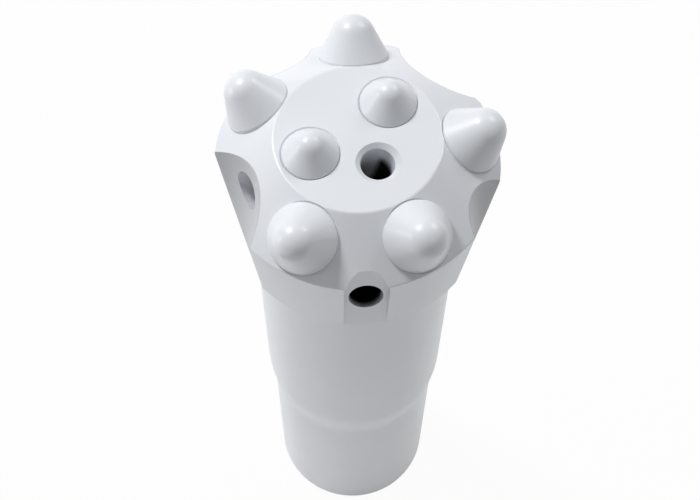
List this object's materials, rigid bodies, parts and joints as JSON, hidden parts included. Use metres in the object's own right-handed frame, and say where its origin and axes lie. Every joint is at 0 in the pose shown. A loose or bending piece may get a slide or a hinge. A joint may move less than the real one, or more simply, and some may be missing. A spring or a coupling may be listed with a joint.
{
  "type": "button drill bit",
  "caption": "Rock drill bit with domed buttons on a coned face, flushing holes, fluted head and a threaded socket in its long skirt.",
  "frame": {"origin": "on the bit axis, at the open end of the thread socket", "axes": "+Z along the bit axis from the open end to the drilling face; -Y is the side with the narrow arched flushing groove"},
  "size_m": [0.0501, 0.0502, 0.153],
  "materials": {
    "painted_steel": "satin",
    "painted_carbide": "satin"
  },
  "bodies": {
    "root": {"bit_body": "painted_steel", "gauge_button_1": "painted_carbide", "gauge_button_2": "painted_carbide", "gauge_button_3": "painted_carbide", "gauge_button_4": "painted_carbide", "gauge_button_5": "painted_carbide", "face_button_1": "painted_carbide", "face_button_2": "painted_carbide"}
  },
  "joints": []
}
